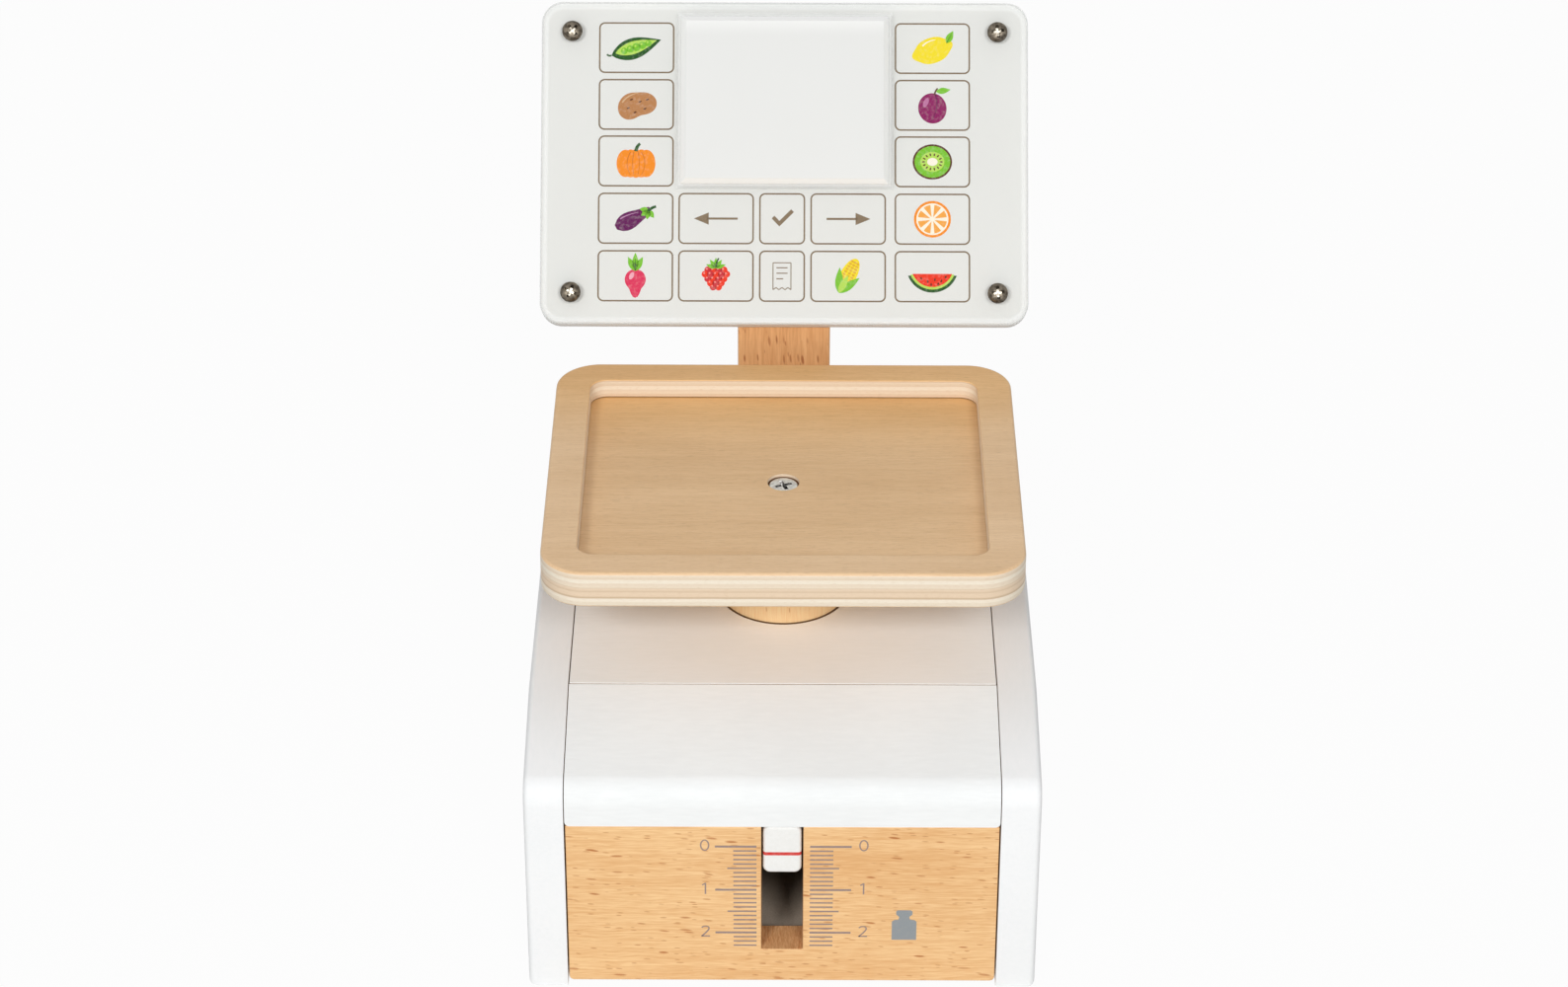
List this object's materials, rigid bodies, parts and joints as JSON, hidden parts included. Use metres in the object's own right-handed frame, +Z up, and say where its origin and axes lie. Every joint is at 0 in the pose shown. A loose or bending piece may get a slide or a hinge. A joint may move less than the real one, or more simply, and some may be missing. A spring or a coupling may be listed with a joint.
{
  "type": "toy shop scale",
  "caption": "Wooden toy shop scale: a sprung tray on a round column over a white housing, with a pointer in a slot and a leaning keypad panel on a post.",
  "frame": {"origin": "on the ground, under the middle of the whole object's box", "axes": "+X to the right as seen by the user, +Y from the pointer's front towards the keypad panel, +Z up"},
  "size_m": [0.158, 0.2328, 0.2274],
  "materials": {
    "white_lacquer": "white satin lacquer on wood",
    "beech": "oiled beech",
    "fibreboard": "bare fibreboard",
    "plywood": "clear lacquered plywood",
    "printed_sheet": "printed white sheet",
    "clear_acrylic": "clear acrylic",
    "white_plastic": "satin white",
    "bright_steel": "zinc-plated",
    "dark_steel": "burnished"
  },
  "bodies": {
    "base": {"left_side": "white_lacquer", "right_side": "white_lacquer", "front_panel": "beech", "hood": "white_lacquer", "top_plate": "white_lacquer", "rear_hood": "white_lacquer", "back_panel": "white_lacquer", "bottom_plate": "fibreboard", "left_cleat": "beech", "right_cleat": "beech", "bottom_screws": "bright_steel", "spring_dowel": "beech", "spring": "bright_steel", "post": "beech", "post_screws": "bright_steel", "panel_board": "white_lacquer", "board_screws": "bright_steel", "keypad_sheet": "printed_sheet", "acrylic_cover": "clear_acrylic", "display_plate": "white_plastic", "cover_screws": "dark_steel"},
    "platform": {"pan_frame": "plywood", "pan_base": "plywood", "pan_screw": "bright_steel", "pan_dowels": "beech", "column": "beech", "pointer": "white_lacquer", "pointer_pin": "beech", "stop_pin": "beech"}
  },
  "joints": [
    {"name": "platform_press", "type": "slide", "parent": "base", "child": "platform", "axis": [0, 0, 1], "range_m": [-0.028, 0], "stiffness_N_per_m": 700, "springref_m": 0.005, "deforming": ["spring"]}
  ]
}
